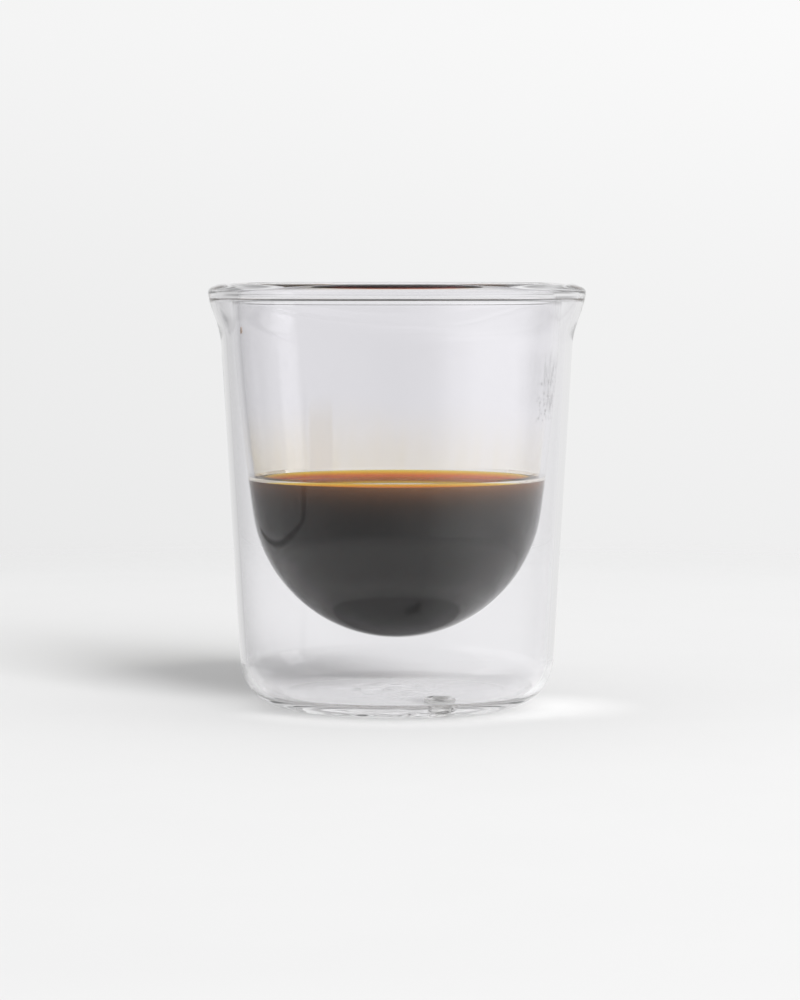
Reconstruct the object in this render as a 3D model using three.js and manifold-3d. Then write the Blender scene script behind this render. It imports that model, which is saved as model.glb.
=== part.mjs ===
// Double espresso in a double-walled glass tumbler, in millimetres, +Z up.
// The origin is the centre of the flat base, on the surface that the glass stands on.

import * as THREE from 'three';
import { mergeVertices } from 'three/addons/utils/BufferGeometryUtils.js';
import Module from 'manifold-3d';

const wasm = await Module();
wasm.setup();

// Outer wall: a flat base, a rounded corner, a straight taper and a flare below the lip
const HEIGHT = 84.2;
const RIM_RADIUS = 37.5;
const FLAT_RADIUS = 21.9;
const CORNER_RADIUS = 9.4;
const TAPER = 0.058;
const FLARE_START = 72.5;
const LIP_Z = 82.4;

// Lip: where it is highest, and where its inner edge turns down into the bowl
const CREST_RADIUS = 33.3;
const INNER_LIP_Z = 82.0;

// Bowl: a hemisphere under a wall that opens upwards, steeply at first
const BOWL_RADIUS = 27.7;
const BOWL_CENTRE_Z = 42.7;
const BOWL_LOW_SLOPE = 0.14;
const BOWL_TOP_SLOPE = 0.05;

// Glass thickness, and the empty space between the two walls
const WALL = 1.3;
const BASE = 2.3;
const BASE_EDGE = 3.6;
const BASE_DISH = 10;
const ARCH_Z = 81.2;
const GAP_TOP_Z = 81.6;

// Vent in the base, closed by a stopper with a domed head
const VENT_X = 8.3;
const VENT_Y = -17.2;
const VENT_RADIUS = 1.9;
const STOPPER_HEAD_RADIUS = 3.05;
const STOPPER_HEAD_HEIGHT = 0.7;
const STOPPER_DOME_RADIUS = 1.8;
const STOPPER_DOME_HEIGHT = 0.9;

// Coffee: flat in the middle, climbing a little where it meets the glass
const COFFEE_LEVEL = 44.0;
const MENISCUS_RISE = 1.2;
const MENISCUS_WIDTH = 4.0;

// Clearance between neighbouring solids, and the number of facets round each one
const CLEARANCE = 0.3;
const SEGMENTS = 48;
const VENT_SEGMENTS = 16;

const { clamp, degToRad, lerp, smoothstep } = THREE.MathUtils;

function point(radius, z) {
  return new THREE.Vector2(radius, z);
}

// Part of an ellipse round (radius, z), from one angle in degrees to another.
function arc(radius, z, width, height, from, to, steps) {
  const points = [];
  for (let i = 0; i <= steps; i += 1) {
    const angle = degToRad(lerp(from, to, i / steps));
    points.push(point(radius + width * Math.cos(angle), z + height * Math.sin(angle)));
  }
  return points;
}

// Points along a wall given by a function from height to radius.
function wall(radiusAt, from, to, steps) {
  const points = [];
  for (let i = 0; i <= steps; i += 1) {
    const z = lerp(from, to, i / steps);
    points.push(point(radiusAt(z), z));
  }
  return points;
}

// Spins an outline that starts and ends on the axis into one closed body.
function spin(outline, segments) {
  const geometry = new THREE.LatheGeometry(outline, segments);
  geometry.rotateX(Math.PI / 2);
  return weld(geometry);
}

// Keeps only the shared corners, and drops the triangles that have no area.
function weld(geometry) {
  geometry.deleteAttribute('normal');
  geometry.deleteAttribute('uv');
  const welded = mergeVertices(geometry);
  const corners = welded.getIndex().array;
  const kept = [];
  for (let i = 0; i < corners.length; i += 3) {
    const [a, b, c] = corners.slice(i, i + 3);
    if (a !== b && b !== c && c !== a) {
      kept.push(a, b, c);
    }
  }
  welded.setIndex(kept);
  return welded;
}

function toSolid(geometry) {
  const mesh = new wasm.Mesh({
    numProp: 3,
    vertProperties: new Float32Array(geometry.getAttribute('position').array),
    triVerts: new Uint32Array(geometry.getIndex().array),
  });
  return new wasm.Manifold(mesh);
}

function toGeometry(solid) {
  const mesh = solid.getMesh();
  const geometry = new THREE.BufferGeometry();
  geometry.setAttribute('position', new THREE.BufferAttribute(mesh.vertProperties, 3));
  geometry.setIndex(new THREE.BufferAttribute(mesh.triVerts, 1));
  return geometry;
}

function outerRadius(z) {
  const body = FLAT_RADIUS + CORNER_RADIUS;
  const straight = body + TAPER * (z - CORNER_RADIUS);
  const flare = RIM_RADIUS - body - TAPER * (LIP_Z - CORNER_RADIUS);
  return straight + flare * smoothstep(z, FLARE_START, LIP_Z);
}

// Height and radius where a hemisphere of the given radius turns into the wall above it.
function bowlEdge(sphereRadius) {
  const angle = Math.atan(BOWL_LOW_SLOPE);
  return point(sphereRadius * Math.cos(angle), BOWL_CENTRE_Z - sphereRadius * Math.sin(angle));
}

function bowlRadius(z, sphereRadius) {
  const edge = bowlEdge(sphereRadius);
  const rise = clamp(z - edge.y, 0, HEIGHT);
  const easing = (BOWL_LOW_SLOPE - BOWL_TOP_SLOPE) / (2 * (INNER_LIP_Z - edge.y));
  return edge.x + BOWL_LOW_SLOPE * rise - easing * rise * rise;
}

// Outline of the bowl from the given height down to its lowest point on the axis.
function bowlOutline(top, sphereRadius, wallSteps, sphereSteps) {
  const edge = bowlEdge(sphereRadius);
  const edgeAngle = -THREE.MathUtils.radToDeg(Math.atan(BOWL_LOW_SLOPE));
  return [
    ...wall((z) => bowlRadius(z, sphereRadius), top, edge.y, wallSteps),
    ...arc(0, BOWL_CENTRE_Z, sphereRadius, sphereRadius, edgeAngle, -90, sphereSteps),
  ];
}

// Everything that the glass encloses, with the space between the walls filled in.
function glassOutline() {
  const lipWidth = RIM_RADIUS - CREST_RADIUS;
  const innerWidth = CREST_RADIUS - bowlRadius(INNER_LIP_Z, BOWL_RADIUS);
  return [
    point(0, 0),
    ...arc(FLAT_RADIUS, CORNER_RADIUS, CORNER_RADIUS, CORNER_RADIUS, -90, 0, 6),
    ...wall(outerRadius, CORNER_RADIUS, FLARE_START, 3),
    ...wall(outerRadius, FLARE_START, LIP_Z, 5),
    ...arc(CREST_RADIUS, LIP_Z, lipWidth, HEIGHT - LIP_Z, 0, 90, 5),
    ...arc(CREST_RADIUS, INNER_LIP_Z, innerWidth, HEIGHT - INNER_LIP_Z, 90, 180, 4),
    ...bowlOutline(INNER_LIP_Z, BOWL_RADIUS, 4, 11),
  ];
}

// Where the base meets the corner of the empty space, which leaves a wall of even thickness.
function baseEdgeRadius() {
  return FLAT_RADIUS + Math.sqrt((CORNER_RADIUS - WALL) ** 2 - (CORNER_RADIUS - BASE_EDGE) ** 2);
}

// Height of the base's upper face: flat in the middle, and higher towards its edge.
function baseHeight(radius) {
  return BASE + (BASE_EDGE - BASE) * (radius / baseEdgeRadius()) ** BASE_DISH;
}

// The empty space between the walls, from the base up to its arched top.
function gapOutline() {
  const gapSphere = BOWL_RADIUS + WALL;
  const gapWall = (z) => outerRadius(z) - WALL;
  const inner = bowlRadius(ARCH_Z, gapSphere);
  const middle = (inner + gapWall(ARCH_Z)) / 2;
  const corner = CORNER_RADIUS - WALL;
  const cornerStart = -THREE.MathUtils.radToDeg(Math.asin((CORNER_RADIUS - BASE_EDGE) / corner));
  const floorRadii = [0.65, 0.8, 0.88, 0.94].map((part) => part * baseEdgeRadius());
  return [
    point(0, BASE),
    ...floorRadii.map((radius) => point(radius, baseHeight(radius))),
    ...arc(FLAT_RADIUS, CORNER_RADIUS, corner, corner, cornerStart, 0, 4),
    ...wall(gapWall, CORNER_RADIUS, FLARE_START, 2),
    ...wall(gapWall, FLARE_START, ARCH_Z, 4),
    ...arc(middle, ARCH_Z, middle - inner, GAP_TOP_Z - ARCH_Z, 0, 180, 4),
    ...bowlOutline(ARCH_Z, gapSphere, 4, 10),
  ];
}

function makeGlass() {
  const vent = new THREE.CylinderGeometry(VENT_RADIUS, VENT_RADIUS, 2 * BASE + 2, VENT_SEGMENTS);
  vent.rotateX(Math.PI / 2);
  vent.translate(VENT_X, VENT_Y, 0);
  const filled = toSolid(spin(glassOutline(), SEGMENTS));
  const gap = toSolid(spin(gapOutline(), SEGMENTS));
  const hollow = filled.subtract(gap).subtract(toSolid(weld(vent)));
  const material = new THREE.MeshStandardMaterial({ color: 0xdddce3, roughness: 0.04, metalness: 0 });
  const mesh = new THREE.Mesh(toGeometry(hollow), material);
  mesh.name = 'glass';
  return mesh;
}

// A stem in the vent under a flat head with a low dome, all clear of the glass.
function makeVentStopper() {
  const stemRadius = VENT_RADIUS - CLEARANCE;
  const reach = Math.hypot(VENT_X, VENT_Y) + STOPPER_HEAD_RADIUS;
  const headZ = baseHeight(reach) + CLEARANCE;
  const domeZ = headZ + STOPPER_HEAD_HEIGHT;
  const outline = [
    point(0, CLEARANCE),
    point(stemRadius, CLEARANCE),
    point(stemRadius, headZ),
    point(STOPPER_HEAD_RADIUS, headZ),
    point(STOPPER_HEAD_RADIUS, domeZ),
    ...arc(0, domeZ, STOPPER_DOME_RADIUS, STOPPER_DOME_HEIGHT, 0, 90, 4),
  ];
  const material = new THREE.MeshStandardMaterial({ color: 0xd9dccb, roughness: 0.3, metalness: 0 });
  const mesh = new THREE.Mesh(spin(outline, VENT_SEGMENTS), material);
  mesh.name = 'vent_stopper';
  mesh.position.set(VENT_X, VENT_Y, 0);
  return mesh;
}

function makeCoffee() {
  const sphereRadius = BOWL_RADIUS - CLEARANCE;
  const top = COFFEE_LEVEL + MENISCUS_RISE;
  const edge = bowlRadius(top, sphereRadius);
  const steps = 5;
  const surface = [point(0, COFFEE_LEVEL)];
  for (let i = 0; i <= steps; i += 1) {
    const climb = MENISCUS_RISE * (i / steps) ** 3;
    surface.push(point(edge - MENISCUS_WIDTH * (1 - i / steps), COFFEE_LEVEL + climb));
  }
  const outline = [...surface, ...bowlOutline(top, sphereRadius, 1, 11)].reverse();
  const material = new THREE.MeshStandardMaterial({ color: 0x3d2a20, roughness: 0.08, metalness: 0 });
  const mesh = new THREE.Mesh(spin(outline, SEGMENTS), material);
  mesh.name = 'coffee';
  return mesh;
}

const group = new THREE.Group();
group.add(makeGlass(), makeVentStopper(), makeCoffee());

export default group;
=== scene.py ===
"""A double espresso in a double-walled glass tumbler, dressed for the render."""

import math
import random

import bpy
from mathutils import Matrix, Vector, noise


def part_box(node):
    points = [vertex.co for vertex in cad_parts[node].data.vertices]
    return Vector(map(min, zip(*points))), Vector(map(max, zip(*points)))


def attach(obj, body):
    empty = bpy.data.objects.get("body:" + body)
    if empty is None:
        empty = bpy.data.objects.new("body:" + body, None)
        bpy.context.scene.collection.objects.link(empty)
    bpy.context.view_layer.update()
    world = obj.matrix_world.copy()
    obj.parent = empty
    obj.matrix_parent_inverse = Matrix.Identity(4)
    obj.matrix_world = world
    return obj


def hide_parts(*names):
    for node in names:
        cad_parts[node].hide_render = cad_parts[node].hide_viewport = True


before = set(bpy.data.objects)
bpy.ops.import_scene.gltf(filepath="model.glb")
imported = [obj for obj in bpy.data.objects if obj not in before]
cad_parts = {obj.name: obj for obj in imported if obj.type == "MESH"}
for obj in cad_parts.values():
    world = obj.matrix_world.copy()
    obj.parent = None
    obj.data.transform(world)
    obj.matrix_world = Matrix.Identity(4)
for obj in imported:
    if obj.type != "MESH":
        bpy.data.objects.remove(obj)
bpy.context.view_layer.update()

# Lengths are in metres, and most are written in millimetres times MM
MM = 0.001

# Outer wall and lip, with the rim and the height taken from the frame
GLASS_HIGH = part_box("glass")[1]
RIM_RADIUS = GLASS_HIGH.x
HEIGHT = GLASS_HIGH.z
FLAT_RADIUS = 21.9 * MM
CORNER_RADIUS = 9.4 * MM
TAPER = 0.058
FLARE_START = 72.5 * MM
LIP_Z = 82.4 * MM
CREST_RADIUS = 33.3 * MM
INNER_LIP_Z = 82.0 * MM

# Bowl: a hemisphere under a wall that opens upwards
BOWL_RADIUS = 27.7 * MM
BOWL_CENTRE_Z = 42.7 * MM
BOWL_LOW_SLOPE = 0.14
BOWL_TOP_SLOPE = 0.05

# Glass thickness, and the empty space between the walls
WALL = 1.3 * MM
BASE = 2.3 * MM
BASE_EDGE = 3.6 * MM
BASE_DISH = 10
ARCH_Z = 81.2 * MM
GAP_TOP_Z = 81.6 * MM

# Coffee: it reaches just into the wall, and climbs where it meets it
COFFEE_LEVEL = 44.0 * MM
CONTACT_Z = 45.4 * MM
MENISCUS_LENGTH = 1.3 * MM
WALL_OVERLAP = 0.2 * MM

# How the drink looks: how it takes up light, and the brown haze below its edge, its cloudiness laid on
# as painted light: strongest at the edge and fading with depth, like light scattered in from above
COFFEE_IOR = 1.333
COFFEE_COLOUR = (0.976, 0.81, 0.0, 1.0)
COFFEE_DENSITY = 6000.0
HAZE_COLOUR = (0.35, 0.15, 0.06, 1.0)
HAZE_GLOW_AMOUNT = 0.6
HAZE_GLOW_DEPTH = 1.6 * MM

# What the drink leaves on the wall: a film, a darker strip in it at the front left, and grey damp
FILM_TOP = 61 * MM
FILM_REACH = 12 * MM
FILM_TINT = (1.0, 0.995, 0.968, 1.0)
FILM_HAZE = 0.0225
FILM_HAZE_COLOUR = (0.95, 0.62, 0.32, 1.0)
DARK_STRIP_TINT = (0.975, 0.965, 0.945, 1.0)
DAMP_COLOUR = (0.45, 0.45, 0.46, 1.0)

# How the glass looks
GLASS_IOR = 1.47
GLASS_TINT = (0.992, 0.989, 1.0, 1.0)
GLASS_SHADOW = 0.975

# Vent in the base, and the bead that closes it
STOPPER_LOW, STOPPER_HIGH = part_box("vent_stopper")
VENT_X = (STOPPER_LOW.x + STOPPER_HIGH.x) / 2
VENT_Y = (STOPPER_LOW.y + STOPPER_HIGH.y) / 2
STEM_RADIUS = 1.6 * MM
STEM_LOW = 0.35 * MM

# Steps round the axis
SEGMENTS = 216

# Brightness of the studio by direction: 0 degrees is the front, and 90 the right
NEAR_FLOOR = [
    (-180, 0.50),
    (-144, 0.45),
    (-119, 0.68),
    (-101, 0.46),
    (-73, 0.45),
    (-46, 0.33),
    (-25, 0.33),
    (0, 0.45),
    (22, 0.62),
    (33, 0.80),
    (44, 0.96),
    (66, 1.00),
    (79, 0.88),
    (94, 0.68),
    (123, 0.57),
    (180, 0.50),
]
BELOW_HORIZON = [
    (-180, 0.85),
    (-173, 0.85),
    (-169, 0.78),
    (-152, 0.68),
    (-142, 0.45),
    (-126, 0.36),
    (-110, 0.50),
    (-75, 0.46),
    (-41, 0.38),
    (0, 0.35),
    (20, 0.38),
    (40, 0.60),
    (60, 0.85),
    (90, 0.90),
    (125, 0.80),
    (169, 0.76),
    (173, 0.85),
    (180, 0.85),
]
ABOVE_HORIZON = [
    (-180, 0.87),
    (-165, 0.87),
    (-150, 0.75),
    (-130, 0.70),
    (-110, 0.85),
    (-60, 0.85),
    (-30, 0.25),
    (0, 0.10),
    (30, 0.25),
    (60, 0.30),
    (90, 0.50),
    (115, 0.60),
    (130, 0.45),
    (150, 0.45),
    (165, 0.87),
    (180, 0.87),
]
STUDIO_TOP = 0.5

# The pane on the right, and the dark lower edge of the board on the left
PANE_TURN = 95
PANE_UP = 0.28
PANE_TONE = 1.5
BOARD_TURN = -108.5
BOARD_RISE = 0.605
BOARD_SWING = 1.006
BOARD_SHADE = 0.95
CEILING_SHADE = 0.75

# Floor: its tones, with painted shade under the base and painted light in front of it, a painted pool of
# the light that the glass throws to its right, and where the floor fades out
FLOOR_TONE = 0.87
UNDER_PAINTED_SHADE = 0.93
UNDER_PAINTED_SHADE_MIRRORED = 0.6
FRONT_PAINTED_LIGHT = 1.2
GLOW_TONE = 1.3
GLOW_PLACE = (26 * MM, -3 * MM, 0.0)
GLOW_RADIUS = 26 * MM
FLOOR_FADE = (0.28, 0.42)
FLOOR_FADE_MIRRORED = (0.06, 0.10)
FLOOR_RADII = [0.0, 0.05, 0.1, 0.2, 0.4, 0.6]
FLOOR_SINK = 0.15 * MM

# The soft window that lights the scene
KEY_POWER = 67.0
KEY_WIDTH = 1.0
KEY_HEIGHT = 1.15
KEY_PLACE = Vector((1.197, -1.843, 1.193))

# Camera, placed so that the picture has the photograph's perspective
IMAGE_HEIGHT = 1000
FOCAL_PIXELS = 3439
HORIZON_ROW = 262.6
SENSOR = 36.0
CAMERA_PLACE = Vector((0.6 * MM, -684.5 * MM, 88.2 * MM))


# Small helpers


def smoothstep(low, high, value):
    t = min(max((value - low) / (high - low), 0.0), 1.0)
    return t * t * (3 - 2 * t)


def steps(start, end, count):
    return [start + (end - start) * i / count for i in range(count + 1)]


def arc(radius, z, width, height, start, end, count):
    """Part of an ellipse round (radius, z), from one angle in degrees to another."""
    angles = [math.radians(a) for a in steps(start, end, count)]
    return [(radius + width * math.cos(a), z + height * math.sin(a)) for a in angles]


def without_repeats(outline):
    """The outline with each point that repeats the one before it left out."""
    kept = [outline[0]]
    for place in outline[1:]:
        if math.dist(place, kept[-1]) > 1e-7:
            kept.append(place)
    return kept


def spin(outline, segments=SEGMENTS, shift=None):
    """Vertices and faces of an outline of (radius, z) turned round the axis.

    The outline starts and ends on the axis or, where no point is on it, closes on itself.
    shift(radius, z, angle) gives how far a vertex moves outwards and upwards.
    """
    outline = without_repeats(outline)
    verts = []
    rings = []
    for radius, z in outline:
        if radius < 1e-7:
            rings.append([len(verts)] * segments)
            verts.append((0.0, 0.0, z + (shift(0.0, z, 0.0)[1] if shift else 0.0)))
            continue
        ring = []
        for i in range(segments):
            angle = 2 * math.pi * i / segments
            out, up = shift(radius, z, angle) if shift else (0.0, 0.0)
            ring.append(len(verts))
            verts.append(((radius + out) * math.cos(angle), (radius + out) * math.sin(angle), z + up))
        rings.append(ring)
    pairs = list(zip(rings, rings[1:]))
    if outline[0][0] > 1e-7:
        pairs.append((rings[-1], rings[0]))
    faces = []
    for low, high in pairs:
        for i in range(segments):
            j = (i + 1) % segments
            corners = (low[i], low[j], high[j], high[i])
            faces.append(tuple(dict.fromkeys(corners)))
    return verts, faces


def join(parts):
    """One list of vertices and faces from several."""
    verts = []
    faces = []
    for part_verts, part_faces in parts:
        start = len(verts)
        verts += part_verts
        faces += [tuple(start + v for v in face) for face in part_faces]
    return verts, faces


def flipped(part):
    verts, faces = part
    return verts, [tuple(reversed(face)) for face in faces]


def grey(tone):
    return (tone, tone, tone, 1.0)


def make_object(name, verts, faces, materials, sharp_degrees=60, choose=None):
    """A mesh object. choose(centre) gives each face the number of its material."""
    mesh = bpy.data.meshes.new(name)
    mesh.from_pydata(verts, [], faces)
    for material in materials:
        mesh.materials.append(material)
    if choose:
        for face in mesh.polygons:
            face.material_index = choose(face.center)
    mesh.shade_smooth()
    mesh.set_sharp_from_angle(angle=math.radians(sharp_degrees))
    mesh.update()
    thing = bpy.data.objects.new(name, mesh)
    bpy.context.scene.collection.objects.link(thing)
    return thing


# The glass's outlines


def outer_radius(z):
    body = FLAT_RADIUS + CORNER_RADIUS
    flare = RIM_RADIUS - body - TAPER * (LIP_Z - CORNER_RADIUS)
    return body + TAPER * (z - CORNER_RADIUS) + flare * smoothstep(FLARE_START, LIP_Z, z)


def bowl_edge(sphere_radius):
    """Radius and height where the hemisphere turns into the wall above it."""
    angle = math.atan(BOWL_LOW_SLOPE)
    return sphere_radius * math.cos(angle), BOWL_CENTRE_Z - sphere_radius * math.sin(angle)


def bowl_radius(z, sphere_radius=BOWL_RADIUS):
    edge_radius, edge_z = bowl_edge(sphere_radius)
    if z < edge_z:
        return math.sqrt(max(sphere_radius**2 - (z - BOWL_CENTRE_Z) ** 2, 0.0))
    rise = z - edge_z
    easing = (BOWL_LOW_SLOPE - BOWL_TOP_SLOPE) / (2 * (INNER_LIP_Z - edge_z))
    return edge_radius + BOWL_LOW_SLOPE * rise - easing * rise * rise


def beyond_bowl(place):
    """How far a place lies outside the bowl's inner face, or less than zero inside it."""
    radius = math.hypot(place.x, place.y)
    if place.z > bowl_edge(BOWL_RADIUS)[1]:
        return radius - bowl_radius(place.z)
    return math.hypot(radius, place.z - BOWL_CENTRE_Z) - BOWL_RADIUS


def bowl_outline(top, sphere_radius, wall_steps, sphere_steps):
    """The bowl from a height down to its lowest point on the axis."""
    edge_z = bowl_edge(sphere_radius)[1]
    edge_angle = -math.degrees(math.atan(BOWL_LOW_SLOPE))
    wall = [(bowl_radius(z, sphere_radius), z) for z in steps(top, edge_z, wall_steps)]
    sphere = arc(0, BOWL_CENTRE_Z, sphere_radius, sphere_radius, edge_angle, -90, sphere_steps)
    return wall + sphere[:-1] + [(0.0, BOWL_CENTRE_Z - sphere_radius)]


def outer_outline():
    inner_width = CREST_RADIUS - bowl_radius(INNER_LIP_Z)
    return (
        [(r, 0.0) for r in steps(0.0, FLAT_RADIUS, 6)]
        + arc(FLAT_RADIUS, CORNER_RADIUS, CORNER_RADIUS, CORNER_RADIUS, -90, 0, 24)
        + [(outer_radius(z), z) for z in steps(CORNER_RADIUS, FLARE_START, 20)]
        + [(outer_radius(z), z) for z in steps(FLARE_START, LIP_Z, 20)]
        + arc(CREST_RADIUS, LIP_Z, RIM_RADIUS - CREST_RADIUS, HEIGHT - LIP_Z, 0, 90, 20)
        + arc(CREST_RADIUS, INNER_LIP_Z, inner_width, HEIGHT - INNER_LIP_Z, 90, 180, 16)
        + bowl_outline(INNER_LIP_Z, BOWL_RADIUS, 30, 48)
    )


def base_height(radius):
    """Height of the base's upper face: flat in the middle, and higher towards its edge."""
    return BASE + (BASE_EDGE - BASE) * (radius / base_edge_radius()) ** BASE_DISH


def base_edge_radius():
    """Where the base meets the corner, which is as thick as the wall."""
    corner = CORNER_RADIUS - WALL
    return FLAT_RADIUS + math.sqrt(corner**2 - (CORNER_RADIUS - BASE_EDGE) ** 2)


def gap_outline():
    gap_sphere = BOWL_RADIUS + WALL
    inner = bowl_radius(ARCH_Z, gap_sphere)
    outer = outer_radius(ARCH_Z) - WALL
    middle = (inner + outer) / 2
    corner = CORNER_RADIUS - WALL
    corner_start = -math.degrees(math.asin((CORNER_RADIUS - BASE_EDGE) / corner))
    return (
        [(r, base_height(r)) for r in steps(0.0, base_edge_radius(), 90)]
        + arc(FLAT_RADIUS, CORNER_RADIUS, corner, corner, corner_start, 0, 20)
        + [(outer_radius(z) - WALL, z) for z in steps(CORNER_RADIUS, FLARE_START, 20)]
        + [(outer_radius(z) - WALL, z) for z in steps(FLARE_START, ARCH_Z, 18)]
        + arc(middle, ARCH_Z, outer - middle, GAP_TOP_Z - ARCH_Z, 0, 180, 20)
        + bowl_outline(ARCH_Z, gap_sphere, 30, 44)
    )


def blown_shift(radius, z, angle):
    """Slight unevenness of hand-blown glass, none at the base and the rim."""
    fade = smoothstep(4 * MM, 20 * MM, z) * (1 - smoothstep(70 * MM, 80 * MM, z))
    place = Vector((math.cos(angle) * 1.4, math.sin(angle) * 1.4, z / (35 * MM)))
    return fade * 0.10 * MM * noise.noise(place), 0.0


def rippled_shift(radius, z, angle):
    """The inside of the base has gentle ripples, and the rest is as uneven as the outside."""
    out, up = blown_shift(radius, z, angle)
    if z < BASE + 0.1 * MM:
        place = Vector((radius * math.cos(angle) / (3.2 * MM), radius * math.sin(angle) / (7 * MM), 0.0))
        fade = 1 - smoothstep(8 * MM, 14 * MM, radius)
        up += 0.10 * MM * noise.noise(place) * fade
    return out, up


# Materials


class Tree:
    """A node tree that is filled with short calls."""

    def __init__(self, owner):
        owner.use_nodes = True
        self.tree = owner.node_tree
        self.tree.nodes.clear()

    def add(self, kind, inputs=(), **properties):
        """A node. Inputs, by name or number, are set to a value or joined to another output."""
        node = self.tree.nodes.new(kind)
        for key, value in properties.items():
            setattr(node, key, value)
        for key, value in dict(inputs).items():
            if isinstance(value, bpy.types.NodeSocket):
                self.tree.links.new(value, node.inputs[key])
            else:
                node.inputs[key].default_value = value
        return node

    def maths(self, operation, *values):
        return self.add("ShaderNodeMath", enumerate(values), operation=operation).outputs[0]

    def ramp(self, value, low, high, low_result=0.0, high_result=1.0, kind="SMOOTHSTEP"):
        """Goes from one result to the other while the value goes from low to high."""
        inputs = {
            "Value": value,
            "From Min": low,
            "From Max": high,
            "To Min": low_result,
            "To Max": high_result,
        }
        return self.add("ShaderNodeMapRange", inputs, interpolation_type=kind).outputs[0]

    def place(self):
        """The place on the object, as a vector and as its three parts."""
        vector = self.add("ShaderNodeTexCoord").outputs["Object"]
        parts = self.add("ShaderNodeSeparateXYZ", {0: vector})
        return vector, parts.outputs[0], parts.outputs[1], parts.outputs[2]

    def noise(self, vector, scale, detail=2.0):
        """Noise from 0 to 1, with features of 1 / scale metres along each axis."""
        scaled = self.add("ShaderNodeVectorMath", {0: vector, 1: scale}, operation="MULTIPLY").outputs[0]
        inputs = {"Vector": scaled, "Scale": 1.0, "Detail": detail}
        return self.add("ShaderNodeTexNoise", inputs).outputs["Fac"]

    def blend(self, amount, first, second):
        return self.add("ShaderNodeMixShader", {0: amount, 1: first, 2: second}).outputs[0]

    def colours(self, amount, first, second):
        mix = self.add("ShaderNodeMix", {0: amount, 6: first, 7: second}, data_type="RGBA")
        return mix.outputs[2]

    def tones(self, value, stops):
        """Greys by angle, from a list of degrees and brightness. The value is 0 at -180 degrees."""
        node = self.add("ShaderNodeValToRGB", {0: value})
        elements = node.color_ramp.elements
        while len(elements) < len(stops):
            elements.new(0.5)
        for element, (degrees, tone) in zip(elements, stops):
            element.position = (degrees + 180) / 360
            element.color = grey(tone)
        return node.outputs[0]

    def principled(self, **inputs):
        named = {key.replace("_", " "): value for key, value in inputs.items()}
        return self.add("ShaderNodeBsdfPrincipled", named).outputs[0]

    def show(self, surface, volume=None):
        output = self.add("ShaderNodeOutputMaterial", {"Surface": surface})
        if volume:
            self.tree.links.new(volume, output.inputs["Volume"])


def new_material(name):
    material = bpy.data.materials.new(name)
    return material, Tree(material)


def clear_glass(name, ior):
    """Glass with faint waves from blowing. Light for shadows goes straight through it."""
    material, tree = new_material(name)
    vector, _, _, z = tree.place()
    waves = tree.noise(vector, (70.0, 70.0, 12.0))
    calm = tree.ramp(z, 66 * MM, 76 * MM, 1.0, 0.0)
    bump = tree.add(
        "ShaderNodeBump",
        {"Strength": tree.maths("MULTIPLY", calm, 0.06), "Distance": 0.0004, "Height": waves},
    )
    glass = tree.principled(
        Base_Color=GLASS_TINT,
        Roughness=0.0,
        IOR=ior,
        Transmission_Weight=1.0,
        Normal=bump.outputs["Normal"],
    )
    through = tree.add("ShaderNodeBsdfTransparent", {"Color": grey(GLASS_SHADOW)})
    is_shadow = tree.add("ShaderNodeLightPath").outputs["Is Shadow Ray"]
    tree.show(tree.blend(is_shadow, glass, through.outputs[0]))
    return material


def coffee_material():
    """Dark liquid, clear where it is thin, with a brown haze just below its edge: its cloudiness, laid
    on as a painted glow that fades with depth.

    Its side lies inside the glass, so it bends no light, and only its top does.
    """
    material, tree = new_material("coffee")
    vector, _, y, z = tree.place()
    top = tree.add("ShaderNodeAttribute", attribute_name="top").outputs["Fac"]
    ripple = tree.add(
        "ShaderNodeBump",
        {"Strength": 0.02, "Distance": 0.0003, "Height": tree.noise(vector, (150.0, 150.0, 150.0))},
    )
    surface = tree.principled(
        Base_Color=grey(1.0),
        Roughness=0.0,
        IOR=COFFEE_IOR,
        Transmission_Weight=1.0,
        Normal=ripple.outputs["Normal"],
    )
    side = tree.principled(
        Base_Color=grey(1.0),
        Roughness=0.0,
        IOR=1.001,
        Specular_IOR_Level=0.0,
        Transmission_Weight=1.0,
    )
    # Painted glow: brown haze strongest at the edge, fading with depth below it like light scattered in
    # from above, and weaker at the back
    depth = tree.maths("DIVIDE", tree.maths("SUBTRACT", z, CONTACT_Z), HAZE_GLOW_DEPTH)
    amount = tree.maths("MULTIPLY", tree.maths("EXPONENT", depth), HAZE_GLOW_AMOUNT)
    amount = tree.maths("MULTIPLY", amount, tree.ramp(y, -8 * MM, 8 * MM, 1.0, 0.1))
    haze = tree.add("ShaderNodeBsdfDiffuse", {"Color": HAZE_COLOUR})
    side = tree.blend(amount, side, haze.outputs[0])
    inside = tree.add("ShaderNodeVolumeAbsorption", {"Color": COFFEE_COLOUR, "Density": COFFEE_DENSITY})
    tree.show(tree.blend(top, side, surface), inside.outputs[0])
    return material


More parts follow.
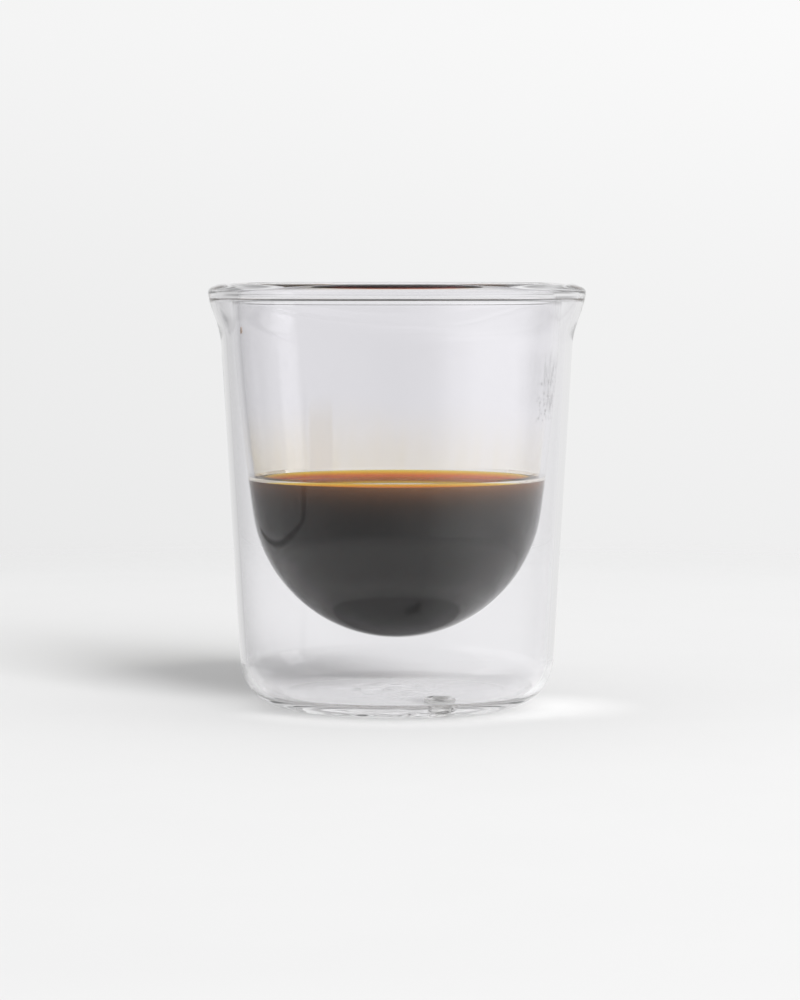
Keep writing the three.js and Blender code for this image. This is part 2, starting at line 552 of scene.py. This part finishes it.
def film_material():
    """A beige tint that fades upwards, with a darker strip in it, and grey damp on the right."""
    material, tree = new_material("coffee_film")
    vector, x, y, z = tree.place()
    streaks = tree.noise(vector, (420.0, 420.0, 14.0), 4.0)
    patches = tree.noise(vector, (45.0, 45.0, 30.0), 1.0)
    top = tree.maths("MULTIPLY_ADD", patches, FILM_REACH, FILM_TOP - FILM_REACH / 2)
    low = tree.ramp(z, CONTACT_Z, top, 1.0, 0.0)
    left = tree.ramp(x, -10 * MM, 26 * MM, 1.0, 0.55)
    uneven = tree.maths("MULTIPLY", left, tree.ramp(streaks, 0.25, 0.75, 0.7, 1.3))
    amount = tree.maths("MULTIPLY", low, uneven)
    tint = tree.colours(amount, grey(1.0), FILM_TINT)
    # A darker strip in the tint at the front left, between two heights
    dark_strip = tree.ramp(x, -16.6 * MM, -15.9 * MM)
    dark_strip = tree.maths("MULTIPLY", dark_strip, tree.ramp(x, -12.4 * MM, -11.6 * MM, 1.0, 0.0))
    dark_strip = tree.maths("MULTIPLY", dark_strip, tree.ramp(z, 57 * MM, 64 * MM, 1.0, 0.0))
    dark_strip = tree.maths("MULTIPLY", dark_strip, tree.ramp(y, -8 * MM, -4 * MM, 1.0, 0.0))
    tint = tree.colours(dark_strip, tint, DARK_STRIP_TINT)
    clear = tree.add("ShaderNodeBsdfTransparent", {"Color": tint}).outputs[0]
    haze = tree.add("ShaderNodeBsdfDiffuse", {"Color": FILM_HAZE_COLOUR}).outputs[0]
    skin = tree.blend(tree.maths("MULTIPLY", amount, FILM_HAZE), clear, haze)
    damp = tree.maths("MULTIPLY", tree.ramp(x, 24 * MM, 29 * MM), tree.ramp(z, 57 * MM, 61 * MM))
    damp = tree.maths("MULTIPLY", damp, tree.ramp(z, 68 * MM, 72.5 * MM, 1.0, 0.0))
    damp = tree.maths("MULTIPLY", damp, tree.ramp(streaks, 0.3, 0.7, 0.03, 0.07))
    mist = tree.add("ShaderNodeBsdfDiffuse", {"Color": DAMP_COLOUR}).outputs[0]
    tree.show(tree.blend(damp, skin, mist))
    return material


def liquid_material(name, colour, ior, haze, haze_colour):
    """Small drops and bubbles: clear, with some haze in patches."""
    material, tree = new_material(name)
    patches = tree.noise(tree.place()[0], (3000.0, 3000.0, 3000.0))
    clear = tree.principled(Base_Color=colour, Roughness=0.0, IOR=ior, Transmission_Weight=1.0)
    dull = tree.add("ShaderNodeBsdfDiffuse", {"Color": haze_colour}).outputs[0]
    amount = tree.ramp(patches, 0.3, 0.7, haze * 0.6, min(haze * 1.4, 1.0))
    tree.show(tree.blend(amount, clear, dull))
    return material


def stopper_material():
    """Clear silicone, slightly milky."""
    material, tree = new_material("stopper")
    grain = tree.noise(tree.place()[0], (2500.0, 2500.0, 2500.0))
    silicone = tree.principled(
        Base_Color=(0.97, 0.97, 0.95, 1.0),
        Roughness=tree.ramp(grain, 0.3, 0.7, 0.0, 0.05),
        IOR=1.41,
        Transmission_Weight=1.0,
    )
    tree.show(silicone)
    return material


# The object's pieces


def make_glass():
    """Both walls as one body. The faces below the drink's edge meet coffee instead of air."""
    body = spin(outer_outline(), shift=blown_shift)
    gap = spin(gap_outline(), shift=rippled_shift)
    verts, faces = join([body, flipped(gap)])
    dry = clear_glass("clear_glass", GLASS_IOR)
    wet = clear_glass("wet_glass", GLASS_IOR / COFFEE_IOR)

    def choose(centre):
        return int(centre.z < CONTACT_Z and beyond_bowl(centre) < 0.5 * WALL)

    return make_object("glass_shell", verts, faces, [dry, wet], choose=choose)


def coffee_surface(radius):
    """Height of the drink's surface at a radius, climbing towards the wall."""
    wall = bowl_radius(CONTACT_Z)
    climb = (CONTACT_Z - COFFEE_LEVEL) * math.exp(-(wall - radius) / MENISCUS_LENGTH)
    return COFFEE_LEVEL + climb


def make_coffee():
    wall = bowl_radius(CONTACT_Z)
    flat = [(r, coffee_surface(r)) for r in steps(0.0, wall - 8 * MM, 12)]
    climbing = [(r, coffee_surface(r)) for r in steps(wall - 8 * MM, wall, 60)]
    rest = bowl_outline(CONTACT_Z + 0.02 * MM, BOWL_RADIUS + WALL_OVERLAP, 12, 60)
    outline = [(0.0, COFFEE_LEVEL)] + flat[1:] + climbing + rest
    verts, faces = flipped(spin(outline))
    espresso = make_object("espresso", verts, faces, [coffee_material()])
    top = espresso.data.attributes.new("top", "FLOAT", "FACE")
    for face in espresso.data.polygons:
        top.data[face.index].value = float(face.normal.z > 0.02)
    return espresso


def make_film():
    """A closed skin on the wall above the drink."""
    low = CONTACT_Z + 0.1 * MM
    high = FILM_TOP + FILM_REACH
    outer = [(bowl_radius(z) - 0.02 * MM, z) for z in steps(low, high, 40)]
    inner = [(bowl_radius(z) - 0.05 * MM, z) for z in steps(high, low, 40)]
    verts, faces = spin(outer + inner)
    return make_object("coffee_film", verts, faces, [film_material()])


def on_wall(angle, z, inwards=0.0):
    """A place on the bowl's wall. The angle is 0 at the front and grows to the right."""
    radius = bowl_radius(z) - inwards
    return Vector((radius * math.sin(angle), -radius * math.cos(angle), z))


def drop(centre, angle, width, height, thickness, rings=8, sides=14):
    """A closed bead that lies flat on the wall: its size across, upwards and off the wall."""
    across = Vector((math.cos(angle), math.sin(angle), 0.0))
    inward = Vector((-math.sin(angle), math.cos(angle), 0.0))
    upward = Vector((0.0, 0.0, 1.0))
    verts = [tuple(centre + upward * height / 2)]
    for ring in range(1, rings):
        tilt = math.pi * ring / rings
        for side in range(sides):
            turn = 2 * math.pi * side / sides
            out = math.sin(tilt)
            verts.append(
                tuple(
                    centre
                    + upward * (math.cos(tilt) * height / 2)
                    + across * (out * math.cos(turn) * width / 2)
                    + inward * (out * math.sin(turn) * thickness)
                )
            )
    verts.append(tuple(centre - upward * height / 2))
    faces = []
    last = len(verts) - 1
    for side in range(sides):
        following = (side + 1) % sides
        faces.append((0, 1 + side, 1 + following))
        for ring in range(rings - 2):
            upper = 1 + ring * sides
            lower = upper + sides
            faces.append((upper + side, lower + side, lower + following, upper + following))
        base = 1 + (rings - 2) * sides
        faces.append((last, base + following, base + side))
    return verts, faces


def make_condensation():
    """Small beads of water and a few runs on the right of the inner wall."""
    chance = random.Random(7)
    beads = []
    for _ in range(60):
        angle = math.radians(chance.uniform(60, 86))
        z = chance.uniform(57.5, 66) * MM
        size = chance.uniform(0.16, 0.5) * MM
        beads.append(drop(on_wall(angle, z), angle, size, size * 1.15, size * 0.3))
    for _ in range(16):
        angle = math.radians(chance.uniform(70, 96))
        z = chance.uniform(60, 70) * MM
        width = chance.uniform(0.15, 0.4) * MM
        beads.append(drop(on_wall(angle, z), angle, width, chance.uniform(2, 7) * MM, 0.06 * MM))
    verts, faces = join(beads)
    material = liquid_material("water", grey(0.95), 1.33, 0.3, grey(0.55))
    return make_object("condensation", verts, faces, [material])


def make_edge_bubbles():
    """A row of fine bubbles where the drink meets the wall, front right."""
    chance = random.Random(3)
    beads = []
    for _ in range(15):
        angle = math.radians(chance.uniform(54, 76))
        z = CONTACT_Z + chance.uniform(-0.5, 0.35) * MM
        size = chance.uniform(0.16, 0.38) * MM
        beads.append(drop(on_wall(angle, z, 0.1 * MM), angle, size, size, size * 0.5))
    verts, faces = join(beads)
    brown = (0.35, 0.2, 0.11, 1.0)
    material = liquid_material("edge_bubbles", (0.75, 0.55, 0.38, 1.0), 1.2, 0.35, brown)
    return make_object("edge_bubbles", verts, faces, [material])


def make_specks():
    """Tiny bubbles that cling to the wall below the surface."""
    chance = random.Random(11)
    beads = []
    for _ in range(26):
        angle = math.radians(chance.uniform(-50, 60))
        tilt = math.radians(chance.uniform(-45, -3))
        radius = BOWL_RADIUS + 0.12 * MM
        centre = Vector((0.0, 0.0, BOWL_CENTRE_Z)) + radius * Vector(
            (math.cos(tilt) * math.sin(angle), -math.cos(tilt) * math.cos(angle), math.sin(tilt))
        )
        size = chance.uniform(0.09, 0.2) * MM
        beads.append(drop(centre, angle, size, size, size * 0.5, 6, 8))
    verts, faces = join(beads)
    material = liquid_material("specks", (0.8, 0.78, 0.75, 1.0), 1.2, 0.8, (0.2, 0.18, 0.17, 1.0))
    return make_object("wall_bubbles", verts, faces, [material])


def make_drip():
    """A dried drop of coffee high on the left of the wall."""
    angle = math.radians(-70)
    beads = [
        drop(on_wall(angle, 75.4 * MM), angle, 0.55 * MM, 0.9 * MM, 0.12 * MM),
        drop(on_wall(angle, 74.9 * MM), angle, 0.8 * MM, 1.0 * MM, 0.14 * MM),
    ]
    verts, faces = join(beads)
    material = liquid_material("dried_coffee", (0.75, 0.42, 0.2, 1.0), 1.4, 0.7, (0.62, 0.33, 0.15, 1.0))
    return make_object("dried_drip", verts, faces, [material])


def make_stopper():
    """The bead that closes the vent: a ring with a low dome inside it."""
    z = BASE - 0.05 * MM
    outline = (
        [(0.0, STEM_LOW), (STEM_RADIUS, STEM_LOW), (STEM_RADIUS, z)]
        + [(2.4 * MM, z)]
        + arc(2.45 * MM, z + 0.5 * MM, 0.65 * MM, 0.5 * MM, -60, 150, 16)
        + arc(0.0, z + 0.6 * MM, 1.85 * MM, 0.75 * MM, 0, 90, 16)[:-1]
        + [(0.0, z + 1.35 * MM)]
    )
    verts, faces = spin(outline, segments=64)
    verts = [(x + VENT_X, y + VENT_Y, z) for x, y, z in verts]
    return make_object("vent_bead", verts, faces, [stopper_material()], 40)


# The stage: floor, light and camera


def make_floor():
    """A pale floor that fades into the background, and sooner where it is seen by reflection. Its tone
    holds painted shade under the base, painted light to the right of and in front of the base, and is
    darker towards the front and a little brighter towards the back.
    """
    material, tree = new_material("floor")
    vector, _, y, _ = tree.place()
    reach = tree.add("ShaderNodeVectorMath", {0: vector}, operation="LENGTH").outputs["Value"]
    bounces = tree.add("ShaderNodeLightPath").outputs["Glossy Depth"]
    mirrored = tree.maths("MINIMUM", bounces, 1.0)
    near = tree.ramp(mirrored, 0.0, 1.0, FLOOR_FADE[0], FLOOR_FADE_MIRRORED[0])
    far = tree.ramp(mirrored, 0.0, 1.0, FLOOR_FADE[1], FLOOR_FADE_MIRRORED[1])
    grain = tree.ramp(tree.noise(vector, (30.0, 30.0, 30.0)), 0.3, 0.7, 0.997, 1.003)
    tone = tree.maths("MULTIPLY", grain, FLOOR_TONE)
    # Painted shade and light: darker towards the front, where the key light is nearer, and a little
    # brighter towards the back
    tone = tree.maths("MULTIPLY", tone, tree.ramp(y, -0.26, -0.03, 0.9, 1.0, "LINEAR"))
    tone = tree.maths("MULTIPLY", tone, tree.ramp(y, 0.06, 0.25, 1.0, 1.05, "LINEAR"))
    # Painted pool of light: the floor is brighter to the right of the base, where the glass throws light
    away = tree.add("ShaderNodeVectorMath", {0: vector, 1: GLOW_PLACE}, operation="DISTANCE")
    glow = tree.ramp(away.outputs["Value"], 0.0, GLOW_RADIUS, GLOW_TONE, 1.0)
    tone = tree.maths("MULTIPLY", tone, glow)
    # Painted shadow: the floor under the base is darker, and darker still where it is seen by reflection
    under = tree.ramp(mirrored, 0.0, 1.0, UNDER_PAINTED_SHADE, UNDER_PAINTED_SHADE_MIRRORED)
    under = tree.ramp(reach, FLAT_RADIUS, 1.08 * FLAT_RADIUS, under, 1.0)
    tone = tree.maths("MULTIPLY", tone, under)
    # Painted light: the floor just in front of the base is brighter
    front = tree.ramp(y, -22 * MM, -8 * MM, FRONT_PAINTED_LIGHT, 1.0)
    front = tree.ramp(reach, 1.1 * FLAT_RADIUS, 1.8 * FLAT_RADIUS, front, 1.0)
    tone = tree.maths("MULTIPLY", tone, front)
    paper = tree.add("ShaderNodeBsdfDiffuse", {"Color": tone}).outputs[0]
    clear = tree.add("ShaderNodeBsdfTransparent").outputs[0]
    tree.show(tree.blend(tree.ramp(reach, near, far), paper, clear))
    floor = make_object("floor", *spin([(r, 0.0) for r in FLOOR_RADII], segments=96), [material])
    floor.location.z = -FLOOR_SINK
    return floor


def studio_walls(tree, turn, up):
    """Tones all round, from near the floor to the top."""
    around = tree.ramp(turn, -math.pi, math.pi, kind="LINEAR")
    deep = tree.tones(around, NEAR_FLOOR)
    low = tree.colours(tree.ramp(up, -0.36, -0.26), deep, tree.tones(around, BELOW_HORIZON))
    level = tree.colours(tree.ramp(up, -0.02, 0.07), low, tree.tones(around, ABOVE_HORIZON))
    return tree.colours(tree.ramp(up, 0.2, 0.35), level, grey(STUDIO_TOP))


def inside_pane(tree, turn, up):
    """1 in the bright pane on the right, and 0 elsewhere."""
    aside = tree.maths("ABSOLUTE", tree.maths("SUBTRACT", turn, math.radians(PANE_TURN)))
    above = tree.maths("ABSOLUTE", tree.maths("SUBTRACT", up, PANE_UP))
    return tree.maths(
        "MULTIPLY", tree.ramp(aside, 0.15, 0.22, 1.0, 0.0), tree.ramp(above, 0.19, 0.25, 1.0, 0.0)
    )


def board_edge(tree, turn, up):
    """How dark the board's lower edge is: a thin line that hangs down in its middle."""
    beside = tree.maths("SUBTRACT", turn, math.radians(BOARD_TURN))
    line = tree.maths("MULTIPLY_ADD", tree.maths("COSINE", beside), -BOARD_SWING, BOARD_RISE)
    away = tree.maths("ABSOLUTE", tree.maths("SUBTRACT", up, line))
    ends = tree.ramp(tree.maths("ABSOLUTE", beside), math.radians(44), math.radians(50), 1.0, 0.0)
    ends = tree.maths("MULTIPLY", ends, tree.ramp(up, -0.205, -0.175, 1.0, 0.0))
    return tree.maths("MULTIPLY", ends, tree.ramp(away, 0.012, 0.035, BOARD_SHADE, 0.0))


def ceiling(tree, turn, up):
    """How dark the ceiling behind is, which matters to what is mirrored but lights nothing less."""
    seen = tree.maths("SUBTRACT", 1.0, tree.add("ShaderNodeLightPath").outputs["Is Diffuse Ray"])
    behind = tree.ramp(tree.maths("ABSOLUTE", turn), math.radians(105), math.radians(130))
    height = tree.ramp(up, 0.33, 0.5, 0.0, CEILING_SHADE)
    return tree.maths("MULTIPLY", tree.maths("MULTIPLY", behind, seen), height)


def make_world():
    """A studio by direction: pale behind, a dark room in front, and a white board on the left."""
    world = bpy.data.worlds.new("studio")
    bpy.context.scene.world = world
    tree = Tree(world)
    way = tree.add("ShaderNodeTexCoord").outputs["Generated"]
    east, north, up = tree.add("ShaderNodeSeparateXYZ", {0: way}).outputs
    turn = tree.maths("ARCTAN2", east, tree.maths("MULTIPLY", north, -1.0))
    walls = studio_walls(tree, turn, up)
    tone = tree.colours(inside_pane(tree, turn, up), walls, grey(PANE_TONE))
    across = tree.ramp(east, -0.12, 0.12, 0.973, 1.027, "LINEAR")
    upward = tree.ramp(up, -0.10, 0.07, 0.985, 1.07, "LINEAR")
    strength = tree.maths("MULTIPLY", across, upward)
    for shade in (board_edge(tree, turn, up), ceiling(tree, turn, up)):
        strength = tree.maths("MULTIPLY", strength, tree.maths("SUBTRACT", 1.0, shade))
    light = tree.add("ShaderNodeBackground", {"Color": tone, "Strength": strength})
    tree.add("ShaderNodeOutputWorld", {"Surface": light.outputs[0]})


def make_lights():
    """A soft window on the front right, which lights the floor and isn't mirrored in the glass."""
    key = bpy.data.lights.new("key", "AREA")
    key.shape = "RECTANGLE"
    key.size = KEY_WIDTH
    key.size_y = KEY_HEIGHT
    key.energy = KEY_POWER
    lamp = bpy.data.objects.new("key", key)
    lamp.location = KEY_PLACE
    lamp.rotation_euler = KEY_PLACE.to_track_quat("Z", "Y").to_euler()
    lamp.visible_camera = False
    lamp.visible_glossy = False
    lamp.visible_transmission = False
    bpy.context.scene.collection.objects.link(lamp)


def make_camera():
    data = bpy.data.cameras.new("camera")
    data.sensor_width = SENSOR
    data.lens = SENSOR * FOCAL_PIXELS / IMAGE_HEIGHT
    camera = bpy.data.objects.new("camera", data)
    camera.location = CAMERA_PLACE
    pitch = math.atan((IMAGE_HEIGHT / 2 - HORIZON_ROW) / FOCAL_PIXELS)
    camera.rotation_euler = (math.pi / 2 - pitch, 0.0, 0.0)
    bpy.context.scene.collection.objects.link(camera)
    bpy.context.scene.camera = camera


def set_picture():
    scene = bpy.context.scene
    scene.view_settings.view_transform = "Standard"
    scene.cycles.use_denoising = True
    scene.cycles.max_bounces = 64
    scene.cycles.transmission_bounces = 64
    scene.cycles.glossy_bounces = 64
    scene.cycles.transparent_max_bounces = 48


def place_piece(piece, replaced=None):
    """Puts a piece into the part, in place of the plain piece that it dresses, if any."""
    if replaced:
        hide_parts(replaced)
    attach(piece, "root")


place_piece(make_glass(), "glass")
place_piece(make_coffee(), "coffee")
place_piece(make_stopper(), "vent_stopper")
place_piece(make_film())
place_piece(make_edge_bubbles())
place_piece(make_specks())
place_piece(make_drip())
place_piece(make_condensation())

make_floor()
make_world()
make_lights()
make_camera()
set_picture()
